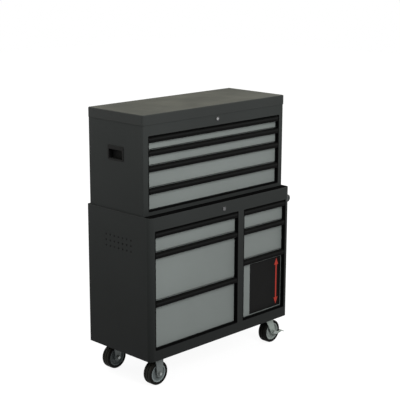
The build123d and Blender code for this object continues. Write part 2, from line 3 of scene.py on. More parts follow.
import bmesh
import bpy
import numpy as np
from bpy.props import FloatProperty, FloatVectorProperty, IntProperty, PointerProperty
from bpy.types import Operator, Panel, PropertyGroup
from mathutils import Matrix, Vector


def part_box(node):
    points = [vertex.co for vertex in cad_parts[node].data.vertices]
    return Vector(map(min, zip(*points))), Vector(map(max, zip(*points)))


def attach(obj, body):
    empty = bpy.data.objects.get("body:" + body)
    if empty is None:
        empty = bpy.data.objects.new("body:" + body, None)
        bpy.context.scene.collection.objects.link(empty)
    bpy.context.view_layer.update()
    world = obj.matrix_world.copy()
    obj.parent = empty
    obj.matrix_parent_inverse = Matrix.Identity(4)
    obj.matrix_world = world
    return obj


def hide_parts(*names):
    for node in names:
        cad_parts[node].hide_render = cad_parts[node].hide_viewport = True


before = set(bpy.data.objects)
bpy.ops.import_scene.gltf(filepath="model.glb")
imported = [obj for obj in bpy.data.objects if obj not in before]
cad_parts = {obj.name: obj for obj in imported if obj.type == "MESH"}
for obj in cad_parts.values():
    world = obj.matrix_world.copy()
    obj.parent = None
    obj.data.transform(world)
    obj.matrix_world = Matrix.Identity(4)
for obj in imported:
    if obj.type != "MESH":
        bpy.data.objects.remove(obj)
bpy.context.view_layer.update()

bl_info = {
    "name": "Rolling tool chest",
    "version": (1, 0, 0),
    "blender": (4, 5, 0),
    "location": "View3D > Sidebar > Tool chest",
    "description": "Paints and details a rolling tool chest on its packed frame",
    "category": "Object",
}

BANKS = {"chest": 4, "left": 3, "right": 3}
DRAWERS = [(bank, number) for bank, count in BANKS.items() for number in range(1, count + 1)]
WHEELS = [f"{place}_{side}" for place in ("front", "rear") for side in ("left", "right")]

# The camera's place and far limit in metres, its yaw, pitch and roll in degrees, its lens and sensor in mm
CAMERA_PLACE = (-4.06819, -4.04247, 2.22270)
CAMERA_FAR = 60.0
CAMERA_TURN = (45.3634, 13.3492, 0.1864)
CAMERA_LENS = 99.851
CAMERA_SENSOR = 36.0

# Square lamps: name, place, the point that it faces, width and power
LAMPS = (
    ("key_panel", (-0.65, -3.0, 2.6), (0.0, 0.0, 1.25), 1.8, 98.0),
    ("top_panel", (0.2, 0.1, 4.0), (0.0, 0.0, 0.0), 3.6, 30.0),
    ("side_panel", (-2.8, 0.1, 2.8), (0.0, 0.0, 1.35), 1.6, 31.0),
    ("back_panel", (-0.6, 4.4, 2.2), (0.0, 0.0, 0.8), 4.2, 115.0),
    ("right_panel", (4.4, 0.3, 2.2), (0.0, 0.0, 0.8), 4.2, 110.0),
)

# The surround as a light, in glossy faces and to the camera: colour and strength
WHITE = (1.0, 1.0, 1.0)
SURROUND = ((WHITE, 0.28), ((1.0, 0.98, 0.80), 0.8), (WHITE, 1.0))

# The floor's half width, and its grey to the light and, under its glow, to the eye
FLOOR_HALF = 14.0
FLOOR_GREY = (0.32, 0.32, 0.32)
FLOOR_SHADE = (0.15, 0.15, 0.15)

# The floor's glow to the eye near the chest and far from it, and the distances between which it changes
FLOOR_GLOW = (0.915, 1.0)
FLOOR_FADE = (1.5, 5.0)

# Heights between which the dark coat's tone changes as painted light and shade, darker low down, and by what
# share
COAT_SHADE_SPAN = (0.15, 1.35)
COAT_LIFT = 0.36

# Roughness limits of the dark coat, roughness of bare plate, and the coat's orange peel as noise
BODY_GLOSS = (0.40, 0.50)
PLATE_GLOSS = 0.32
PEEL = (480.0, 2.0)

# Radius by which every finish softens edges
SOFT_EDGE = 0.0012

# From a drawer's face to the end of its front and to the start of its slide channels, and their width
FRONT_DEPTH = 0.0122
CHANNEL_START = 0.020
CHANNEL_WIDTH = 0.0110


# Settings


def colour(label, words, value):
    """A colour property with its name, description and linear default."""
    limits = {"size": 3, "subtype": "COLOR", "min": 0.0, "max": 1.0}
    return FloatVectorProperty(name=label, description=words, default=value, **limits)


def length(label, words, value):
    """A length property in metres."""
    return FloatProperty(name=label, description=words, default=value, min=0.0, unit="LENGTH", precision=4)


class ToolChestColours(PropertyGroup):
    """Colours of the tool chest's finishes."""

    body: colour("Body", "Dark powder coat of the cabinet, the chest and the lid", (0.0215, 0.0235, 0.0229))
    front: colour("Drawer front", "Grey powder coat of the drawer fronts", (0.178, 0.198, 0.190))
    pull: colour("Pull", "Black coat of the drawer pulls", (0.0020, 0.0021, 0.0021))
    plastic: colour("Plastic", "Black moulded grips and sleeves", (0.0045, 0.0047, 0.0047))
    tyre: colour("Tyre", "Rubber of the wheels", (0.0040, 0.0039, 0.0036))
    # The tread colour is partly floor dust and partly a painted highlight
    tread: colour("Dusty tread", "Treads of the fixed wheels, greyed by the floor", (0.0240, 0.0230, 0.0190))
    # The swivel hubs' lighter colour is painted light on the same moulding as the fixed hubs
    hub: colour("Fixed hub", "Moulded centres of the fixed wheels", (0.220, 0.255, 0.255))
    swivel_hub: colour("Swivel hub", "Lighter centres of the swivel wheels", (0.29, 0.325, 0.305))
    zinc: colour("Zinc", "Zinc plate of the slides and the hinge", (0.36, 0.37, 0.37))
    caster: colour("Caster steel", "Dull plate of the brackets and the bolts", (0.135, 0.150, 0.148))
    fork: colour("Fork steel", "Plate of the swivel forks and the brake levers", (0.275, 0.315, 0.290))
    handle: colour("Handle", "Grey coat of the push handle's end bosses and tube", (0.042, 0.046, 0.046))
    nut: colour("Nut", "Plate of the axle nuts", (0.27, 0.29, 0.29))
    bezel: colour("Lock bezel", "Blackened ring of a lock", (0.085, 0.087, 0.090))
    plug: colour("Chest lock plug", "Polished steel key plug of the chest", (0.40, 0.40, 0.41))
    # Painted shade: the cabinet's key plug is a darker copy of the chest plug's steel
    worn_plug: colour("Cabinet lock plug", "Worn steel key plug of the cabinet", (0.17, 0.17, 0.175))
    mat: colour("Mat", "Ribbed mats in the drawers and the till", (0.014, 0.014, 0.015))
    # On the edge trim this black is painted shade of the gaps round the drawers
    strip: colour("Strip", "Black rubber of the ledge strip and the edge trim", (0.0030, 0.0030, 0.0030))
    screen: colour("Vent screen", "Woven dust screen behind the vents", (0.0125, 0.0125, 0.0125))
    label: colour("Label", "Black film on the deep drawer", (0.0032, 0.0032, 0.0032))
    arrow: colour("Arrow", "Red arrow on the label", (0.42, 0.045, 0.03))


class ToolChestSizes(PropertyGroup):
    """Sizes of the pieces that are added to the frame."""

    mat_thickness: length("Mat thickness", "Height of a mat with its ribs", 0.003)
    mat_rib: length("Mat rib pitch", "Distance between the ribs of a mat", 0.008)
    rim_height: length("Rim height", "Height of the hem round the cabinet's top", 0.002)
    rim_width: length("Rim width", "Thickness of the hem round the cabinet's top", 0.004)
    sleeve: length("Sleeve wall", "Thickness of the sleeve on the push handle", 0.0028)
    label_width: length("Label width", "Width of the film on the deep drawer", 0.2515)
    label_height: length("Label height", "Height of the film on the deep drawer", 0.283)
    tread_groove: length("Tread groove", "Depth of the grooves round a tyre", 0.0034)
    rim_face: length("Rim face", "From a wheel's middle to the rim face of its centre", 0.023)
    web_face: length("Web face", "From a wheel's middle to the web face of its centre", 0.017)
    rigid_axle: length("Rigid axle reach", "From a wheel's middle to a rigid caster's axle end", 0.0379)
    swivel_axle: length("Swivel axle reach", "From a wheel's middle to a swivel caster's axle end", 0.0417)
    handle_boss: length("Handle boss", "Radius of the push handle's end bosses", 0.021)
    handle_tube: length("Handle tube", "Radius of the push handle's tube", 0.015)
    strip_thickness: length("Strip thickness", "Height of the rubber strip on the front ledge", 0.0016)
    side_gap: length("Side gap", "Gap between a drawer and its opening at each side", 0.003)
    end_gap: length("End gap", "Gap between a bank of drawers and its opening, above and below", 0.004)
    trim_lip: length("Trim lip", "Width of the edge trim on the frame's face", 0.003)
    trim_thickness: length("Trim thickness", "Thickness of the edge trim", 0.0009)
    trim_depth: length("Trim depth", "How far the edge trim reaches into an opening", 0.018)
    vent_middle: length("Vent middle", "Height of the middle row of vents above the cabinet's floor", 0.577)
    vent_front: length("Vent front", "Distance of the first vent behind the cabinet's face", 0.139)
    vent_spread: length("Vent spread", "Distance from the first vent to the last", 0.186)
    vent_rise: length("Vent rise", "Distance from the lowest row of vents to the highest", 0.058)
    wheel_steps: IntProperty(name="Wheel steps", description="Steps round a wheel", default=96, min=24)


class ToolChestSettings(PropertyGroup):
    """All that a user would change on the tool chest."""

    colours: PointerProperty(type=ToolChestColours)
    sizes: PointerProperty(type=ToolChestSizes)


def settings():
    """The tool chest's settings on the scene."""
    return bpy.context.scene.tool_chest


# Finishes


class Nodes:
    """A node tree, emptied, and short ways to fill it."""

    def __init__(self, tree):
        self.tree = tree
        tree.nodes.clear()

    def node(self, kind, values=None, **options):
        """A new shader node with its options; values go to its sockets, by link or as constants."""
        made = self.tree.nodes.new("ShaderNode" + kind)
        for key, value in options.items():
            setattr(made, key, value)
        for key, value in (values or {}).items():
            self.put(made.inputs[key], value)
        return made

    def put(self, socket, value):
        """Links a socket, or sets its constant."""
        if isinstance(value, bpy.types.NodeSocket):
            self.tree.links.new(value, socket)
        elif socket.type == "RGBA":
            socket.default_value = (*value, 1.0)
        else:
            socket.default_value = value

    def math(self, operation, first, second=0.0):
        """One sum on two values."""
        return self.node("Math", {0: first, 1: second}, operation=operation).outputs[0]

    def blend(self, share, first, second):
        """A mix of two shaders."""
        return self.node("MixShader", {0: share, 1: first, 2: second}).outputs[0]


class Finish(Nodes):
    """A material built from nodes on Object coordinates, round one Principled shader."""

    def __init__(self, name):
        self.material = bpy.data.materials.new(name)
        self.material.use_nodes = True
        super().__init__(self.material.node_tree)
        self.shader = self.node("BsdfPrincipled")
        self.output = self.node("OutputMaterial", {"Surface": self.shader.outputs[0]})
        self.place = self.node("TexCoord").outputs["Object"]

    def set(self, **values):
        """Sets sockets of the Principled shader, with _ for a space in a socket's name."""
        for key, value in values.items():
            self.put(self.shader.inputs[key.replace("_", " ")], value)

    def axes(self):
        """X, Y and Z of the place."""
        return self.node("SeparateXYZ", {"Vector": self.place}).outputs

    def measure(self, name):
        """A piece's own measure, a number at each point, or 0 on a piece without it."""
        return self.node("Attribute", attribute_name=name).outputs["Fac"]

    def noise(self, scale, detail=3.0, stretch=(1, 1, 1)):
        """Noise from 0 to 1 with that many features per metre, stretched along the axes."""
        mapped = self.node("Mapping", {"Vector": self.place, "Scale": stretch}).outputs[0]
        return self.node("TexNoise", {"Vector": mapped, "Scale": scale, "Detail": detail}).outputs[0]

    def spread(self, value, low, high, start=0.3, end=0.7):
        """Spreads a value between two limits."""
        keys = {"Value": value, "From Min": start, "From Max": end, "To Min": low, "To Max": high}
        return self.node("MapRange", keys).outputs[0]

    def mix(self, share, first, second):
        """A mix of two colours."""
        return self.node("Mix", {0: share, 6: first, 7: second}, data_type="RGBA").outputs[2]

    def mix_value(self, share, first, second):
        """A mix of two numbers."""
        return self.node("Mix", {0: share, 2: first, 3: second}).outputs[0]

    def vary(self, value, by, dark, light):
        """A colour between two of its shades, by a noise."""
        return self.mix(self.spread(by, 0.0, 1.0), shade(value, dark), shade(value, light))

    def times(self, tone, factor):
        """A colour times a number."""
        return self.node("VectorMath", {0: tone, 1: factor}, operation="MULTIPLY").outputs[0]

    def done(self, tone, gloss, specular, height, strength, depth, metal=0.0):
        """Sets the shader, with bump from a height on softened edges, and gives the material."""
        soft = self.node("Bevel", {"Radius": SOFT_EDGE}, samples=4).outputs[0]
        keys = {"Height": height, "Strength": strength, "Distance": depth, "Normal": soft}
        self.set(Base_Color=tone, Roughness=gloss, Specular_IOR_Level=specular, Metallic=metal)
        self.set(Normal=self.node("Bump", keys).outputs[0])
        return self.material


def shade(value, factor):
    """A colour made lighter or darker by a factor."""
    return tuple(min(1.0, channel * factor) for channel in value)


def powder_coat(finish, value, gloss, lift=0.0):
    """Powder coat: a faint cloudy tone, a fine grain, and hand-worn gloss between two limits.

    With a lift the tone falls in a line from the top to the floor, as painted light and shade: lighter up
    high, darker low down.
    """
    tone = finish.vary(value, finish.noise(2.2, 4.0), 0.92, 1.08)
    grain = finish.spread(finish.noise(900.0, 2.0), 0.0, 0.35, 0.35, 0.65)
    tone = finish.mix(grain, tone, shade(value, 1.25))
    if lift:
        # Painted light and shade by height: the tone is scaled up near the top and down near the floor
        worn = finish.spread(finish.axes()["Z"], 1.0 - lift, 1.0 + lift, *COAT_SHADE_SPAN)
        tone = finish.times(tone, worn)
    return tone, finish.spread(finish.noise(6.0, 5.0), *gloss)


def coat_finish(finish, value, gloss, specular, lift=0.0):
    """Powder coat all over a piece, with orange peel about 2 mm across."""
    tone, gloss = powder_coat(finish, value, gloss, lift)
    return finish.done(tone, gloss, specular, finish.noise(*PEEL), 0.25, 0.0003)


def lid_finish(finish, value):
    """The lid's finish by place: dark powder coat, zinc on its hinge leaf, and painted shade on its sides.

    Its top is darkened instead in long faint streaks along the lid.
    """
    leaf, layer = 0.0003, 0.0008
    axes = finish.axes()
    plated = finish.math("GREATER_THAN", axes["Y"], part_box("lid_hinge")[0][1] + leaf)
    top_face = finish.math("GREATER_THAN", axes["Z"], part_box("chest_lid")[1][2] - layer)
    tone, gloss = powder_coat(finish, value, BODY_GLOSS, COAT_LIFT)
    streaks = finish.spread(finish.noise(70.0, 4.0, (0.04, 1, 1)), 0.78, 0.92)
    # Painted shade darkens the lid's sides evenly; its top is darkened in faint streaks instead
    tone = finish.times(tone, finish.mix_value(top_face, 0.87, streaks))
    tone = finish.mix(plated, tone, settings().colours.zinc)
    gloss = finish.mix_value(plated, gloss, PLATE_GLOSS)
    return finish.done(tone, gloss, 0.088, finish.noise(*PEEL), 0.25, 0.0003, plated)


def drawer_finish(finish, value, bank):
    """A drawer's finish by place: grey coat on its front, dark coat on the tray, zinc on the slide channels.

    The front ends where the tray starts, and the channels lie in the outer part of each side behind it.
    """
    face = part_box(f"{bank}_drawer_1")[0][1]
    left, right = slide_span(bank, 1)
    axes = finish.axes()
    behind = finish.math("GREATER_THAN", axes["Y"], face + FRONT_DEPTH)
    beyond = finish.math("GREATER_THAN", axes["Y"], face + CHANNEL_START)
    outer_left = finish.math("LESS_THAN", axes["X"], left + CHANNEL_WIDTH)
    outer_right = finish.math("GREATER_THAN", axes["X"], right - CHANNEL_WIDTH)
    plated = finish.math("MULTIPLY", finish.math("ADD", outer_left, outer_right), beyond)
    grey, gloss = powder_coat(finish, value, (0.38, 0.50))
    tone = finish.mix(behind, grey, settings().colours.body)
    tone = finish.mix(plated, tone, settings().colours.zinc)
    gloss = finish.mix_value(plated, gloss, PLATE_GLOSS)
    return finish.done(tone, gloss, 0.18, finish.noise(*PEEL), 0.2, 0.0003, plated)


def pull_finish(finish, value):
    """Matt black coat with a fine tooth, and a painted highlight: a greyed band across the lip.

    The band is 1 at its middle and falls to 0 at its edges, by the pull's own measure below its top.
    """
    middle, inner, outer = 0.0105, 0.0020, 0.0055
    away = finish.math("ABSOLUTE", finish.math("SUBTRACT", finish.measure("below_top"), middle))
    patch = finish.noise(9.0, 4.0, (0.4, 1, 1))
    # Painted highlight: a lighter band across the lip's face, patchy along the pull
    band = finish.spread(away, 1.0, 0.0, inner, outer)
    painted_highlight = finish.math("MULTIPLY", band, finish.spread(patch, 0.7, 1.0))
    tone = finish.mix(painted_highlight, value, shade(value, 5.0))
    gloss = finish.spread(patch, 0.48, 0.60)
    return finish.done(tone, gloss, 0.03, finish.noise(700.0, 2.0), 0.2, 0.0002)


def plastic_finish(finish, value):
    """Moulded plastic with a spark-eroded grain."""
    grain = finish.noise(1100.0, 2.0)
    tone = finish.vary(value, grain, 1.0, 1.8)
    return finish.done(tone, finish.spread(finish.noise(20.0), 0.5, 0.62), 0.08, grain, 0.4, 0.0002)


def rubber_finish(finish, value, worn, specular):
    """Rubber with dust in its pores and a dull, cloudy face.

    Its tread, by its own measure, is greyed partly as dust from the floor and partly as a painted highlight.
    """
    dust = finish.noise(60.0, 6.0)
    tone = finish.mix(finish.spread(dust, 0.0, 0.6), value, shade(value, 1.9))
    tread = finish.math("MULTIPLY", finish.measure("tread"), finish.spread(dust, 0.7, 1.0))
    # Tread colour: partly floor dust, partly painted highlight; a lower share of it is painted shade
    tone = finish.mix(tread, tone, shade(settings().colours.tread, worn))
    gloss = finish.spread(dust, 0.48, 0.7)
    return finish.done(tone, gloss, specular, finish.noise(1500.0, 2.0), 0.25, 0.0002)


def hub_finish(finish, value, low, high):
    """Moulded wheel centre with faint flow marks, and painted shade where its own measure says that it lies
    back.
    """
    flow = finish.noise(45.0, 5.0)
    # Painted shade: the recessed web is darkened by a share that the noise spreads between two limits
    recess_shade = finish.math("MULTIPLY", finish.measure("recess"), finish.spread(flow, low, high))
    tone = finish.mix(recess_shade, finish.vary(value, flow, 0.88, 1.1), shade(value, 0.16))
    return finish.done(tone, finish.spread(flow, 0.4, 0.55), 0.2, finish.noise(800.0, 2.0), 0.2, 0.0002)


def plate_finish(finish, value, low, high, metal):
    """Plated steel: fine drawn lines, soft spangle, a gloss between two limits and a share of bare metal."""
    cells = finish.node("TexVoronoi", {"Vector": finish.place, "Scale": 160.0}).outputs["Color"]
    spangle = finish.node("SeparateColor", {"Color": cells}).outputs[0]
    lines = finish.noise(260.0, 2.0, (0.15, 1, 6))
    tone = finish.vary(value, lines, 0.82, 1.1)
    tone = finish.mix(finish.spread(spangle, 0.0, 0.35, 0.0, 1.0), tone, shade(value, 1.35))
    return finish.done(tone, finish.spread(lines, low, high), 0.2, lines, 0.12, 0.0002, metal)


def lock_finish(finish, value):
    """Polished metal with hairline scratches."""
    hair = finish.noise(700.0, 3.0, (1, 1, 0.1))
    tone = finish.vary(value, hair, 0.9, 1.08)
    return finish.done(tone, finish.spread(hair, 0.16, 0.28), 0.5, hair, 0.05, 0.0001, 1.0)


def mat_finish(finish, value):
    """Ribbed foam mat with a dull pebbled face."""
    pebble = finish.noise(500.0)
    tone = finish.vary(value, pebble, 1.0, 1.7)
    return finish.done(tone, finish.spread(pebble, 0.7, 0.85), 0.25, pebble, 0.35, 0.0003)


def screen_finish(finish, value):
    """Woven dust screen: threads that cross every 1.2 mm, as the product of two sines of Y and Z."""
    axes = finish.axes()
    turns = 2.0 * math.pi / 0.0012
    across, upward = (finish.math("SINE", finish.math("MULTIPLY", axes[axis], turns)) for axis in "YZ")
    weave = finish.math("MULTIPLY", across, upward)
    tone = finish.mix(finish.spread(weave, 0.0, 1.0, -1.0, 1.0), shade(value, 0.6), shade(value, 1.4))
    return finish.done(tone, finish.spread(finish.noise(30.0), 0.6, 0.75), 0.05, weave, 0.3, 0.0003)


def film_finish(finish, value):
    """Printed film: even colour with a slight cling and a satin face."""
    cling = finish.noise(14.0)
    tone = finish.vary(value, cling, 0.94, 1.06)
    return finish.done(tone, finish.spread(cling, 0.4, 0.5), 0.06, finish.noise(90.0, 2.0), 0.1, 0.0002)


# Each finish by its material's name: how it is built, the colour that it takes, and what else it needs
FINISHES = {
    "body_powder_coat": (coat_finish, "body", BODY_GLOSS, 0.05, COAT_LIFT),
    "handle_coat": (coat_finish, "handle", (0.42, 0.55), 0.12),
    "lid_coat": (lid_finish, "body"),
    **{f"{bank}_drawer_coat": (drawer_finish, "front", bank) for bank in BANKS},
    "pull_coat": (pull_finish, "pull"),
    "moulded_plastic": (plastic_finish, "plastic"),
    # Tyres: the share of the tread colour; the swivel wheels' lower share is painted shade
    "fixed_tyre": (rubber_finish, "tyre", 1.0, 0.06),
    "swivel_tyre": (rubber_finish, "tyre", 0.3, 0.04),
    "ledge_rubber": (rubber_finish, "strip", 0.0, 0.0),
    # Hubs: the limits are shares of painted shade in the recess; the swivel hubs take less of it
    "fixed_hub": (hub_finish, "hub", 0.45, 0.65),
    "swivel_hub": (hub_finish, "swivel_hub", 0.15, 0.40),
    "zinc_plate": (plate_finish, "zinc", 0.28, 0.42, 0.9),
    "caster_plate": (plate_finish, "caster", 0.40, 0.55, 0.35),
    "fork_plate": (plate_finish, "fork", 0.38, 0.52, 0.30),
    "nut_plate": (plate_finish, "nut", 0.30, 0.42, 0.8),
    "lock_bezel": (lock_finish, "bezel"),
    "lock_plug": (lock_finish, "plug"),
    "worn_plug": (lock_finish, "worn_plug"),
    "ribbed_mat": (mat_finish, "mat"),
    "vent_screen": (screen_finish, "screen"),
    "label_film": (film_finish, "label"),
    "label_red": (film_finish, "arrow"),
}


def finish_of(name):
    """A material by name, built from its row of the table the first time it is asked for."""
    build, key, *values = FINISHES[name]
    return bpy.data.materials.get(name) or build(Finish(name), getattr(settings().colours, key), *values)


def coat(finish, *nodes):
    """Gives CAD nodes a finish."""
    for name in nodes:
        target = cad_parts[name]
        target.data.materials.clear()
        target.data.materials.append(finish_of(finish))


# Surfaces, each as its points, its faces and any end caps


def unit(vectors):
    """Vectors scaled to length 1."""
    return vectors / np.linalg.norm(vectors, axis=-1, keepdims=True)


def rounded_profile(corners, radii, steps=6):
    """A closed outline: each corner of a polygon is replaced by an arc tangent to its two sides.

    The arc of a corner with half angle a starts r / tan(a) before it, and its points are blended
    from the tangent points along a circle of radius r.
    """
    corners = np.asarray(corners, float)
    radii = np.broadcast_to(radii, len(corners))
    before = unit(np.roll(corners, 1, axis=0) - corners)
    after = unit(np.roll(corners, -1, axis=0) - corners)
    half = 0.5 * np.arccos(np.clip(np.sum(before * after, axis=1), -1.0, 1.0))
    reach = (radii / np.tan(half))[:, None]
    centre = corners + unit(before + after) * (radii / np.sin(half))[:, None]
    turn = (np.pi - 2.0 * half)[:, None, None]
    share = np.linspace(0.0, 1.0, steps)[:, None]
    first = (corners + before * reach - centre)[:, None, :]
    last = (corners + after * reach - centre)[:, None, :]
    span = np.maximum(np.sin(turn), 1e-9)
    arc = (np.sin((1.0 - share) * turn) * first + np.sin(share * turn) * last) / span
    return (centre[:, None, :] + arc).reshape(-1, 2)


def round_loop(low, high, radii, steps=8):
    """A flat rectangle between two corners, with round corners."""
    corners = [(low[0], low[1]), (high[0], low[1]), (high[0], high[1]), (low[0], high[1])]
    return rounded_profile(corners, radii, steps)


def grid_faces(rows, columns, close_rows=False, close_columns=False):
    """Quads of a grid of points, as four indices each, closed along rows or columns if asked."""
    row = np.arange(rows if close_rows else rows - 1)[:, None]
    column = np.arange(columns if close_columns else columns - 1)
    next_row = (row + 1) % rows
    next_column = (column + 1) % columns
    faces = [row * columns + column, row * columns + next_column]
    faces += [next_row * columns + next_column, next_row * columns + column]
    return np.stack(faces, axis=-1).reshape(-1, 4)


def other_axes(axis):
    """The two axes across an axis, in order."""
    return [number for number in range(3) if number != axis]


def extrusion(profile, start, end, axis):
    """A closed outline carried straight along an axis, with its two end caps.

    The outline's two columns are the other two axes in order.
    """
    count = len(profile)
    points = np.zeros((2, count, 3))
    points[..., other_axes(axis)] = profile
    points[..., axis] = [[start], [end]]
    return points, grid_faces(2, count, close_columns=True), range(count), range(count, 2 * count)


def turned(profile, centre, steps, axis=1, closed=True):
    """An outline of (radius, place along an axis) turned about that axis through a centre."""
    angle = np.linspace(0.0, 2.0 * np.pi, steps, endpoint=False)[:, None]
    first, second = other_axes(axis)
    points = np.empty((steps, len(profile), 3))
    points[..., first] = profile[:, 0] * np.cos(angle)
    points[..., second] = profile[:, 0] * np.sin(angle)
    points[..., axis] = profile[:, 1]
    return points + centre, grid_faces(steps, len(profile), True, closed)


def carried(loop, profile, axis):
    """An outline of (inset, place along an axis) carried round a flat loop across that axis.

    The inset is measured along the loop's inward normal, a quarter turn from its run.
    """
    along = unit(np.roll(loop, -1, axis=0) - np.roll(loop, 1, axis=0))
    inward = np.column_stack([-along[:, 1], along[:, 0]])
    points = np.empty((len(loop), len(profile), 3))
    points[..., other_axes(axis)] = loop[:, None, :] + inward[:, None, :] * profile[:, :1]
    points[..., axis] = profile[:, 1]
    return points, grid_faces(len(loop), len(profile), True, True)


def piece(name, surface, finish, body, sharp=30.0):
    """A closed mesh object on a body, with outward normals; only sharp folds break its shading."""
    points, faces, *caps = surface
    mesh = bpy.data.meshes.new(name)
    polygons = [*faces.tolist(), *map(list, caps)]
    mesh.from_pydata(points.reshape(-1, 3).tolist(), [], polygons)
    work = bmesh.new()
    work.from_mesh(mesh)
    bmesh.ops.remove_doubles(work, verts=work.verts, dist=1e-7)
    bmesh.ops.recalc_face_normals(work, faces=work.faces)
    work.to_mesh(mesh)
    work.free()
    mesh.shade_smooth()
    mesh.set_sharp_from_angle(angle=math.radians(sharp))
    mesh.materials.append(finish_of(finish))
    made = bpy.data.objects.new(name, mesh)
    bpy.context.scene.collection.objects.link(made)
    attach(made, body)
    return made


def mark(mesh, name, measure):
    """Writes a number for each point of a mesh, worked out from the array of all its places."""
    places = np.empty(len(mesh.vertices) * 3)
    mesh.vertices.foreach_get("co", places)
    values = measure(places.reshape(-1, 3)).astype(np.float32)
    mesh.attributes.new(name, "FLOAT", "POINT").data.foreach_set("value", values)


def middle_of(node):
    """The middle of a node's box."""
    return np.sum(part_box(node), axis=0) / 2.0


def half_of(node):
    """Half of a node's box along each axis."""
    return np.diff(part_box(node), axis=0)[0] / 2.0


def slide_span(bank, number):
    """The outer faces of a drawer's pair of slides, along X."""
    low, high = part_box(f"{bank}_slide_{number}")
    return low[0], high[0]


# Pieces


def drawer_pull(node, body):
    """A hook-shaped outline of Y and Z carried along X: back plate, web over the top, and hanging lip.

    The lip hangs forward of the drawer and turns in at its lower edge.
    """
    low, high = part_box(node)
    front, back = low[1], high[1]
    top, bottom = high[2], low[2]
    wall, drop, turn_in, turn_height = 0.0022, 0.028, 0.0016, 0.004
    inside, lip = front + wall, top - drop
    corners = [(front, top), (back, top), (back, bottom), (back - wall, bottom), (back - wall, top - wall)]
    corners += [(inside, top - wall), (inside, lip + turn_height), (inside + turn_in, lip + turn_height)]
    corners += [(inside + turn_in, lip), (front, lip)]
    radii = [0.0045, 0.0004, 0.0004, 0.0004, 0.003, 0.0026, 0.0004, 0.0004, 0.0012, 0.0022]
    hook = extrusion(rounded_profile(corners, radii), low[0], high[0], 0)
    made = piece(f"{node}_hook", hook, "pull_coat", body)
    mark(made.data, "below_top", lambda places: top - places[:, 2])
    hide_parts(node)


def tyre(wheel, finish, sizes):
    """An outline of radius and width turned about the axle: flat tread, two grooves and round shoulders.

    Its measure is 1 on the tread and falls to 0 at the depth of the grooves.
    """
    node = f"tyre_{wheel}"
    fit, place, gap, edge, shoulder, bead = 0.0001, 0.0080, 0.0022, 0.0004, 0.0085, 0.0012
    half, outer = half_of(node)[1:]
    inner = half_of(f"hub_{wheel}")[2] + fit
    depth = sizes.tread_groove
    deep = outer - depth
    corners = [(inner, -half), (outer, -half)]
    for middle in (-place, place):
        start, end = middle - gap, middle + gap
        corners += [(outer, start), (deep, start), (deep, end), (outer, end)]
    corners += [(outer, half), (inner, half)]
    radii = [bead, shoulder, *[edge] * 8, shoulder, bead]
    axle = middle_of(node)
    surface = turned(rounded_profile(corners, radii), axle, sizes.wheel_steps)
    made = piece(f"{node}_tread", surface, finish, f"wheel_{wheel}")

    def tread(places):
        return np.clip((np.hypot(*(places - axle)[:, ::2].T) - deep) / depth, 0, 1)

    mark(made.data, "tread", tread)
    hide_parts(node)


def wheel_centre(wheel, finish, sizes):
    """An outline of radius and width turned about the axle: bored boss, dished web, raised ring and rim.

    Its measure is 0 at the rim's face and 1 at the web's.
    """
    node = f"hub_{wheel}"
    boss, rim = half_of(node)[1:]
    face, web = sizes.rim_face, sizes.web_face
    bore, ring = 0.00605, web + 0.0012
    side = [(bore, boss), (0.0135, boss), (0.0150, web), (0.0265, web), (0.0273, ring)]
    side += [(0.0300, ring), (0.0308, web), (0.0398, web), (0.0412, face), (rim, face)]
    other = [(radius, -place) for radius, place in reversed(side)]
    radii = [0.0005, 0.0015, 0.0012, 0.0004, 0.0005, 0.0005, 0.0004, 0.0010, 0.0010, 0.0008]
    profile = rounded_profile(side + other, radii + radii[::-1], 4)
    axle = middle_of(node)
    surface = turned(profile, axle, sizes.wheel_steps)
    made = piece(f"{node}_dish", surface, finish, f"wheel_{wheel}")

    def recess(places):
        return np.clip((face - np.abs(places[:, 1] - axle[1])) / (face - web), 0, 1)

    mark(made.data, "recess", recess)
    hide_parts(node)


def drawer_mat(bank, number, sizes):
    """A mat between the sides of a tray, on its floor."""
    node = f"{bank}_drawer_{number}"
    low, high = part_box(node)
    left, right = slide_span(bank, number)
    side, front, back, base = 0.0155, 0.0165, 0.0045, 0.0052
    deep = (low[1] + front, high[1] - back)
    ribbed_mat(f"{node}_mat", (left + side, right - side), deep, low[2] + base, node, sizes)


def till_mat(sizes):
    """A mat on the till's floor."""
    low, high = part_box("chest_floors")
    inset = 0.006
    spread, deep = ((low[axis] + inset, high[axis] - inset) for axis in (0, 1))
    ribbed_mat("till_mat", spread, deep, high[2], "carcass", sizes)


def ribbed_mat(name, spread, deep, floor, body, sizes):
    """An outline of X and Z carried along Y: flat below, and above it ribs, each a raised half cosine."""
    left, right = spread
    count = int((right - left) / sizes.mat_rib) * 6
    across = np.linspace(left, right, count)
    wave = np.cos((across - left) * (2.0 * np.pi / sizes.mat_rib))
    height = floor + sizes.mat_thickness * (0.65 + 0.35 * np.clip(wave, -0.4, 1.0))
    upper = np.column_stack([across, height])
    lower = np.array([[right, floor], [left, floor]])
    surface = extrusion(np.vstack([upper, lower]), *deep, 1)
    piece(name, surface, "ribbed_mat", body, 50.0)


def top_rim(sizes):
    """A bar with round upper edges carried round the cabinet's top."""
    low = np.minimum(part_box("cabinet_front_frame")[0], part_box("cabinet_shell")[0])
    high = np.maximum(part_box("cabinet_front_frame")[1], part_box("cabinet_shell")[1])
    loop = round_loop(low, high, (0.025, 0.025, 0.006, 0.006))
    wide, base, top = sizes.rim_width, high[2], high[2] + sizes.rim_height
    outline = [(0, base), (0, top), (wide, top), (wide, base)]
    profile = rounded_profile(outline, [0.0001, 0.0016, 0.0016, 0.0001], 5)
    piece("cabinet_top_rim", carried(loop, profile, 2), "body_powder_coat", "carcass")


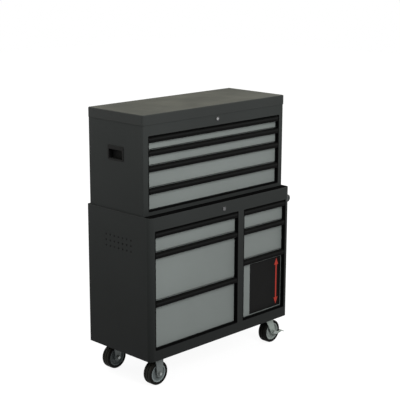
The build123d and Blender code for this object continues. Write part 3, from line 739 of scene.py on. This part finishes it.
def tray_hem(bank, number):
    """A round bead carried round a tray's upper edge."""
    node = f"{bank}_drawer_{number}"
    low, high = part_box(node)
    left, right = slide_span(bank, number)
    side, front, drop, bead, inset = 0.0111, 0.0132, 0.010, 0.0013, 0.0006
    loop = round_loop((left + side, low[1] + front), (right - side, high[1]), 0.002)
    turn = np.linspace(0.0, 2.0 * np.pi, 10, endpoint=False)
    profile = np.column_stack([inset + bead * np.cos(turn), high[2] - drop + bead * np.sin(turn)])
    piece(f"{node}_hem", carried(loop, profile, 2), "body_powder_coat", node)


def gap_shade_trim(bank, sizes):
    """An L-shaped outline of (inset, Y) carried round an opening: a lip on the frame and a liner in it, as
    painted shade.
    """
    gap = np.array([sizes.side_gap, 0.0, sizes.end_gap])
    low = np.subtract(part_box(f"{bank}_drawer_{BANKS[bank]}")[0], gap)
    high = np.add(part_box(f"{bank}_drawer_1")[1], gap)
    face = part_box("chest_front_frame" if bank == "chest" else "cabinet_front_frame")[0][1]
    lip, thin, deep = sizes.trim_lip, sizes.trim_thickness, sizes.trim_depth
    outline = [(-lip, 0.0), (-lip, -thin), (thin, -thin), (thin, deep), (0.0, deep), (0.0, 0.0)]
    radii = [0.0001, 0.0005, 0.0005, 0.0002, 0.0001, 0.0001]
    profile = rounded_profile(outline, radii, 4) + np.array([0.0, face])
    surface = carried(round_loop(low[[0, 2]], high[[0, 2]], 0.0015), profile, 1)
    # Painted shade: the black strip stands in for the shade in the gap round the drawers
    piece(f"{bank}_opening_trim", surface, "ledge_rubber", "carcass")


def ledge_strip(sizes):
    """A rounded outline of X and Y with a small thickness along Z."""
    low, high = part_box("cabinet_front_frame")
    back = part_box("chest_front_frame")[0][1]
    inset = sizes.rim_width + 0.0002
    start, end = (low[0] + inset, low[1] + inset), (high[0] - inset, back)
    outline = round_loop(start, end, (0.021, 0.021, 0.001, 0.001), 6)
    surface = extrusion(outline, high[2], high[2] + sizes.strip_thickness, 2)
    piece("ledge_strip", surface, "ledge_rubber", "carcass")


def vent_screen(sizes):
    """A rounded outline of Y and Z with a small thickness along X, against the left wall's inner face."""
    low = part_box("cabinet_shell")[0]
    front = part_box("cabinet_front_frame")[0][1] + sizes.vent_front
    middle, rise = low[2] + sizes.vent_middle, sizes.vent_rise / 2.0
    edge, sheet, thin = 0.013, 0.0015, 0.0008
    start = (front - edge, middle - rise - edge)
    end = (front + sizes.vent_spread + edge, middle + rise + edge)
    wall = low[0] + sheet
    surface = extrusion(round_loop(start, end, 0.006, 6), wall, wall + thin, 0)
    piece("vent_screen", surface, "vent_screen", "carcass")


def brake_lever(node, axle):
    """A rounded oblong carried along a curve of X and Z beside the wheel, from a boss to a drooping toe.

    The curve is a cubic Bezier from the axle, led back in a straight line for the boss. The oblong's
    height is a circle's at the boss and tapers to the toe's, and it widens inwards beyond the tyre.
    """
    hold = np.array([[0.0, 0.0], [0.040, -0.030], [0.062, 0.004], [0.088, -0.019]])
    share = np.linspace(0.0, 1.0, 61)[:, None]
    weights = [(1 - share) ** 3, 3 * share * (1 - share) ** 2, 3 * share**2 * (1 - share), share**3]
    curve = sum(weight * point for weight, point in zip(weights, hold))
    boss, arm, toe = 0.012, 0.0066, 0.0016
    lead = np.linspace(-0.98, 0.0, 9)[:-1, None] * boss
    line = np.vstack([lead * unit(hold[1]), curve])
    along = unit(np.gradient(line, axis=0))
    normal = np.column_stack([-along[:, 1], along[:, 0]])
    reach = np.linalg.norm(line, axis=1)
    stations = [0.0, 0.018, 0.040, 0.058, 0.078, 0.090]
    taper = np.interp(reach, stations, [boss, 0.0090, arm, 0.0042, 0.0026, toe])
    circle = np.sqrt(np.maximum(boss**2 - reach**2, 0.0))
    tall = np.where(np.arange(len(line)) < len(lead), circle, taper)
    wide = np.interp(reach, [0.0, 0.0655, 0.069, 0.090], [0.003, 0.003, 0.022, 0.020])
    oblong = round_loop((-1, -1), (1, 1), 0.35, 4)
    rows, columns = len(line), len(oblong)
    points = np.empty((rows, columns, 3))
    upright = (normal * tall[:, None])[:, None, :] * oblong[:, :1]
    points[..., [0, 2]] = axle[[0, 2]] + line[:, None, :] + upright
    points[..., 1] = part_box(node)[0][1] + wide[:, None] * (1.0 + oblong[:, 1]) / 2.0
    faces = grid_faces(rows, columns, close_columns=True)
    surface = points, faces, range(columns), range((rows - 1) * columns, rows * columns)
    made = piece(f"{node}_toe", surface, "fork_plate", node)
    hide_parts(node)


def depth_label(sizes):
    """A film with round corners on the deep drawer's front and an arrow on it, as outlines of X and Z."""
    node = "right_drawer_3"
    low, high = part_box(node)
    side, foot, film, ink = 0.0045, 0.0055, 0.0003, 0.00015
    right, bottom, face = high[0] - side, low[2] + foot, low[1]
    left, top = right - sizes.label_width, bottom + sizes.label_height
    sheet = extrusion(round_loop((left, bottom), (right, top), 0.002, 4), face - film, face, 1)
    piece("depth_label", sheet, "label_film", node)
    side, foot, head = 0.0355, 0.012, 0.007
    outline = arrow_outline(right - side, bottom + foot, top - head)
    arrow = extrusion(outline, face - film - ink, face - film, 1)
    piece("depth_arrow", arrow, "label_red", node)


def arrow_outline(middle, bottom, top):
    """An upright arrow with a head at each end."""
    shaft, head, tall = 0.0052, 0.017, 0.038
    low, high = bottom + tall, top - tall
    right = [(0.0, bottom), (head, low), (shaft, low), (shaft, high), (head, high)]
    left = [(-x, z) for x, z in reversed(right[1:])]
    return np.array([*right, (0.0, top), *left]) + np.array([middle, 0.0])


def handle_screws():
    """A screw above the tube and one below it at each end of the push handle."""
    low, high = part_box("push_handle")
    foot, end, rise = 0.004, 0.013, 0.0235
    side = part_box("cabinet_shell")[1][0] + foot
    middle = middle_of("push_handle")[2]
    places = [(side, y, middle + z) for y in (low[1] + end, high[1] - end) for z in (-rise, rise)]
    domes("handle_screws", places, 0, (0.0045, 0.0022), "moulded_plastic", "carcass")


def hinge_rivets():
    """A row of rivets on each leaf of the lid's hinge."""
    low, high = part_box("lid_hinge")
    end, leaf, below, above, count = 0.030, 0.0012, 0.006, 0.0095, 16
    across = np.linspace(low[0] + end, high[0] - end, count)
    rows = (("hinge_rivets", low[2] + below, "carcass"), ("lid_rivets", high[2] + above, "lid"))
    for name, height, body in rows:
        places = [(x, low[1] + leaf, height) for x in across]
        domes(name, places, 1, (0.0026, 0.0010), "zinc_plate", body)


def domes(name, places, axis, size, finish, body):
    """Low round heads by radius and height: a quarter ellipse turned, one at each place."""
    radius, height = size
    root = -0.0004
    rise = np.linspace(0.0, 0.5 * np.pi, 5)[:-1]
    ring = np.column_stack([radius * np.cos(rise), height * np.sin(rise)])
    ring = np.vstack([[0.0, root], [radius, root], ring, [0.0, height]])
    one, faces = turned(ring, (0.0, 0.0, 0.0), 16, axis, closed=False)
    points = one.reshape(1, -1, 3) + np.asarray(places)[:, None, :]
    step = np.arange(len(places))[:, None, None] * points.shape[1]
    piece(name, (points, (faces[None] + step).reshape(-1, 4)), finish, body)


def axle_nuts(wheel, out, body):
    """A six-sided nut on each end of an axle: an outline turned in six steps, with a chamfer at its end."""
    rings = np.array([[0.0, 0.0], [0.0086, 0.0], [0.0086, 0.0036], [0.0072, 0.0046], [0.0, 0.0046]])
    one, faces = turned(rings, (0.0, out, 0.0), 6, closed=False)
    ends = np.stack([one, one * (1, -1, 1)]) + middle_of(f"hub_{wheel}")
    both = np.vstack([faces, faces + 6 * len(rings)])
    piece(f"axle_nuts_{wheel}", (ends, both), "nut_plate", body)


def handle_sleeve(sizes):
    """An outline of radius and Y turned about the tube.

    It is full in the middle, drawn in at its ends by a quarter sine, and creased at every rib by the
    cube of 1 less a sine's size.
    """
    middle = middle_of("push_handle")
    axle = (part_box("push_handle")[1][0] - sizes.handle_boss, middle[1], middle[2])
    fit, end, fade, pitch, crease = 0.0001, 0.045, 0.006, 0.010, 0.0006
    tube = sizes.handle_tube + fit
    half = half_of("push_handle")[1] - end
    along = np.linspace(-half, half, 241)
    edge = np.clip((half - np.abs(along)) / fade, 0.0, 1.0)
    bulge = sizes.sleeve * (0.35 + 0.65 * np.sin(0.5 * np.pi * edge))
    radius = tube + bulge - crease * (1.0 - np.abs(np.sin(along * np.pi / pitch))) ** 3
    outer = np.column_stack([radius, along])
    inner = np.array([[tube, half], [tube, -half]])
    surface = turned(np.vstack([outer, inner]), axle, 48)
    piece("handle_sleeve", surface, "moulded_plastic", "carcass", 60.0)


# Stage


def studio_floor():
    """A flat square under the wheels: pale to the light, and to the eye white with a faint shadow."""
    mesh = bpy.data.meshes.new("studio_floor")
    half = FLOOR_HALF
    corners = [(-half, -half, 0), (half, -half, 0), (half, half, 0), (-half, half, 0)]
    mesh.from_pydata(corners, [], [(0, 1, 2, 3)])
    floor = bpy.data.objects.new("studio_floor", mesh)
    bpy.context.scene.collection.objects.link(floor)
    finish = Finish("studio_floor")
    finish.set(Base_Color=FLOOR_GREY, Roughness=0.9, Specular_IOR_Level=0.0)
    rays = finish.node("LightPath").outputs
    seen = finish.math("MAXIMUM", rays["Is Camera Ray"], rays["Is Transmission Ray"])
    seen = finish.math("MAXIMUM", seen, rays["Is Glossy Ray"])
    away = finish.node("VectorMath", {0: finish.place}, operation="LENGTH").outputs["Value"]
    strength = finish.spread(away, *FLOOR_GLOW, *FLOOR_FADE)
    glow = finish.node("Emission", {"Strength": strength, "Color": WHITE}).outputs[0]
    thin = finish.node("BsdfDiffuse", {"Color": FLOOR_SHADE}).outputs[0]
    white = finish.node("AddShader", {0: thin, 1: glow}).outputs[0]
    finish.put(finish.output.inputs["Surface"], finish.blend(seen, finish.shader.outputs[0], white))
    mesh.materials.append(finish.material)


def studio_world():
    """Soft surround: white to the camera, a little warm where a glossy face shows it, dimmer as a light."""
    world = bpy.data.worlds.new("studio")
    world.use_nodes = True
    sky = Nodes(world.node_tree)
    rays = sky.node("LightPath").outputs
    parts = [sky.node("Background", {"Color": tint, "Strength": power}) for tint, power in SURROUND]
    light, shown, white = (part.outputs[0] for part in parts)
    seen = sky.math("MAXIMUM", rays["Is Camera Ray"], rays["Is Transmission Ray"])
    every = sky.blend(seen, sky.blend(rays["Is Glossy Ray"], light, shown), white)
    sky.node("OutputWorld", {"Surface": every})
    bpy.context.scene.world = world


def stand(thing, right, up, back, place):
    """Puts a lamp or a camera in the scene, by its three axes and its place."""
    turn = np.eye(4)
    turn[:3] = np.column_stack([right, up, back, place])
    thing.matrix_world = Matrix(turn.tolist())
    bpy.context.scene.collection.objects.link(thing)


def lamp(name, place, target, size, power):
    """A square area lamp that faces a point."""
    data = bpy.data.lights.new(name, "AREA")
    data.size = size
    data.energy = power
    away = unit(np.subtract(place, target))
    overhead = abs(away[2]) > 0.99
    side = unit(np.cross((0.0, 1.0, 0.0) if overhead else (0.0, 0.0, 1.0), away))
    stand(bpy.data.objects.new(name, data), side, np.cross(away, side), away, place)


def photo_camera():
    """The camera of the photograph, from its turn about Z, its tilt and its roll."""
    yaw, pitch, roll = map(math.radians, CAMERA_TURN)
    flat = math.cos(pitch)
    ahead = np.array([math.sin(yaw) * flat, math.cos(yaw) * flat, -math.sin(pitch)])
    level = np.array([math.cos(yaw), -math.sin(yaw), 0.0])
    over = np.cross(level, ahead)
    right = math.cos(roll) * level + math.sin(roll) * over
    up = math.cos(roll) * over - math.sin(roll) * level
    data = bpy.data.cameras.new("photo_camera")
    data.lens = CAMERA_LENS
    data.sensor_width = CAMERA_SENSOR
    data.clip_end = CAMERA_FAR
    camera = bpy.data.objects.new("photo_camera", data)
    stand(camera, right, up, -ahead, CAMERA_PLACE)
    bpy.context.scene.camera = camera


# Operators


class Maker:
    """What every operator of the tool chest shares."""

    bl_options = {"REGISTER"}

    def execute(self, context):
        """Makes the pieces, and lets any error stop the script."""
        self.make(settings().sizes)
        return {"FINISHED"}


class TOOLCHEST_OT_body(Maker, Operator):
    """Paint the cabinet, the chest and the lid"""

    bl_idname = "tool_chest.body"
    bl_label = "Paint the body"

    def make(self, sizes):
        coat("body_powder_coat", "cabinet_shell", "cabinet_front_frame", "cabinet_pans", "cabinet_divider")
        coat("body_powder_coat", "chest_shell", "chest_front_frame", "chest_floors")
        coat("lid_coat", "chest_lid")


class TOOLCHEST_OT_drawers(Maker, Operator):
    """Paint the drawers bank by bank"""

    bl_idname = "tool_chest.drawers"
    bl_label = "Paint the drawers"

    def make(self, sizes):
        for bank, number in DRAWERS:
            coat(f"{bank}_drawer_coat", f"{bank}_drawer_{number}")


class TOOLCHEST_OT_pulls(Maker, Operator):
    """Make the full-width drawer pulls"""

    bl_idname = "tool_chest.pulls"
    bl_label = "Make the pulls"

    def make(self, sizes):
        for bank, number in DRAWERS:
            drawer_pull(f"{bank}_pull_{number}", f"{bank}_drawer_{number}")


class TOOLCHEST_OT_metal(Maker, Operator):
    """Plate the slides, the hinge and the casters' steel"""

    bl_idname = "tool_chest.metal"
    bl_label = "Plate the steel"

    def make(self, sizes):
        coat("zinc_plate", "slide_rails", "lid_hinge")
        coat("zinc_plate", *[f"{bank}_slide_{number}" for bank, number in DRAWERS])
        coat("caster_plate", "rigid_caster_brackets", "swivel_caster_plates", "caster_bolts")
        coat("fork_plate", "swivel_fork_front", "swivel_fork_rear")


class TOOLCHEST_OT_grips(Maker, Operator):
    """Finish the recessed grips and the push handle"""

    bl_idname = "tool_chest.grips"
    bl_label = "Finish the grips"

    def make(self, sizes):
        coat("moulded_plastic", "chest_grips")
        coat("handle_coat", "push_handle")


class TOOLCHEST_OT_locks(Maker, Operator):
    """Finish the locks: blackened rings, a bright key plug on the chest and a darker one on the cabinet as
    painted shade
    """

    bl_idname = "tool_chest.locks"
    bl_label = "Finish the locks"

    def make(self, sizes):
        coat("lock_bezel", "lock_housings")
        coat("lock_plug", "chest_lock_plug")
        coat("worn_plug", "cabinet_lock_plug")


class TOOLCHEST_OT_wheels(Maker, Operator):
    """Make the tyres and the wheel centres"""

    bl_idname = "tool_chest.wheels"
    bl_label = "Make the wheels"

    def make(self, sizes):
        for wheel in WHEELS:
            kind = "swivel" if wheel.endswith("right") else "fixed"
            tyre(wheel, f"{kind}_tyre", sizes)
            wheel_centre(wheel, f"{kind}_hub", sizes)


class TOOLCHEST_OT_mats(Maker, Operator):
    """Lay ribbed mats in the drawers and the till"""

    bl_idname = "tool_chest.mats"
    bl_label = "Lay the mats"

    def make(self, sizes):
        for bank, number in DRAWERS:
            drawer_mat(bank, number, sizes)
        till_mat(sizes)


class TOOLCHEST_OT_rims(Maker, Operator):
    """Hem the cabinet's top and the trays' upper edges"""

    bl_idname = "tool_chest.rims"
    bl_label = "Hem the edges"

    def make(self, sizes):
        top_rim(sizes)
        for bank, number in DRAWERS:
            tray_hem(bank, number)


class TOOLCHEST_OT_trim(Maker, Operator):
    """Fit black edge trim round the drawer openings, as painted shade in their gaps"""

    bl_idname = "tool_chest.trim"
    bl_label = "Fit the edge trim"

    def make(self, sizes):
        for bank in BANKS:
            gap_shade_trim(bank, sizes)


class TOOLCHEST_OT_ledge(Maker, Operator):
    """Lay the rubber strip on the front ledge and the dust screen behind the vents"""

    bl_idname = "tool_chest.ledge"
    bl_label = "Line the ledge and the vents"

    def make(self, sizes):
        ledge_strip(sizes)
        vent_screen(sizes)


class TOOLCHEST_OT_levers(Maker, Operator):
    """Make the brake levers of the swivel casters"""

    bl_idname = "tool_chest.levers"
    bl_label = "Make the brake levers"

    def make(self, sizes):
        for place in ("front", "rear"):
            brake_lever(f"brake_lever_{place}", middle_of(f"hub_{place}_right"))


class TOOLCHEST_OT_label(Maker, Operator):
    """Stick the depth label on the deep drawer"""

    bl_idname = "tool_chest.label"
    bl_label = "Stick the label"

    def make(self, sizes):
        depth_label(sizes)


class TOOLCHEST_OT_fasteners(Maker, Operator):
    """Add screws, rivets and axle nuts"""

    bl_idname = "tool_chest.fasteners"
    bl_label = "Add the fasteners"

    def make(self, sizes):
        handle_screws()
        hinge_rivets()
        for place in ("front", "rear"):
            axle_nuts(f"{place}_left", sizes.rigid_axle, "carcass")
            axle_nuts(f"{place}_right", sizes.swivel_axle, f"swivel_fork_{place}")


class TOOLCHEST_OT_sleeve(Maker, Operator):
    """Slip a ribbed sleeve over the push handle"""

    bl_idname = "tool_chest.sleeve"
    bl_label = "Slip on the sleeve"

    def make(self, sizes):
        handle_sleeve(sizes)


class TOOLCHEST_OT_stage(Maker, Operator):
    """Set the floor, the lights and the camera"""

    bl_idname = "tool_chest.stage"
    bl_label = "Set the stage"

    def make(self, sizes):
        studio_floor()
        studio_world()
        for row in LAMPS:
            lamp(*row)
        photo_camera()
        bpy.context.scene.view_settings.view_transform = "Standard"


# In the order of their definition, which is also the order of making
OPERATORS = tuple(Maker.__subclasses__())


class TOOLCHEST_PT_panel(Panel):
    """Lists the tool chest's settings and operators"""

    bl_label = "Tool chest"
    bl_idname = "TOOLCHEST_PT_panel"
    bl_space_type = "VIEW_3D"
    bl_region_type = "UI"
    bl_category = "Tool chest"

    def draw(self, context):
        layout = self.layout
        chest = context.scene.tool_chest
        for group in (chest.colours, chest.sizes):
            box = layout.box()
            for key in group.__annotations__:
                box.prop(group, key)
        for operator in OPERATORS:
            layout.operator(operator.bl_idname)


CLASSES = (ToolChestColours, ToolChestSizes, ToolChestSettings, *OPERATORS, TOOLCHEST_PT_panel)


def register():
    """Adds the classes and the scene's settings."""
    for cls in CLASSES:
        bpy.utils.register_class(cls)
    bpy.types.Scene.tool_chest = PointerProperty(type=ToolChestSettings)


def unregister():
    """Takes them away again."""
    del bpy.types.Scene.tool_chest
    for cls in reversed(CLASSES):
        bpy.utils.unregister_class(cls)


def main():
    """Makes every piece in order."""
    register()
    for operator in OPERATORS:
        getattr(bpy.ops.tool_chest, operator.bl_idname.partition(".")[2])()


if __name__ == "__main__":
    main()
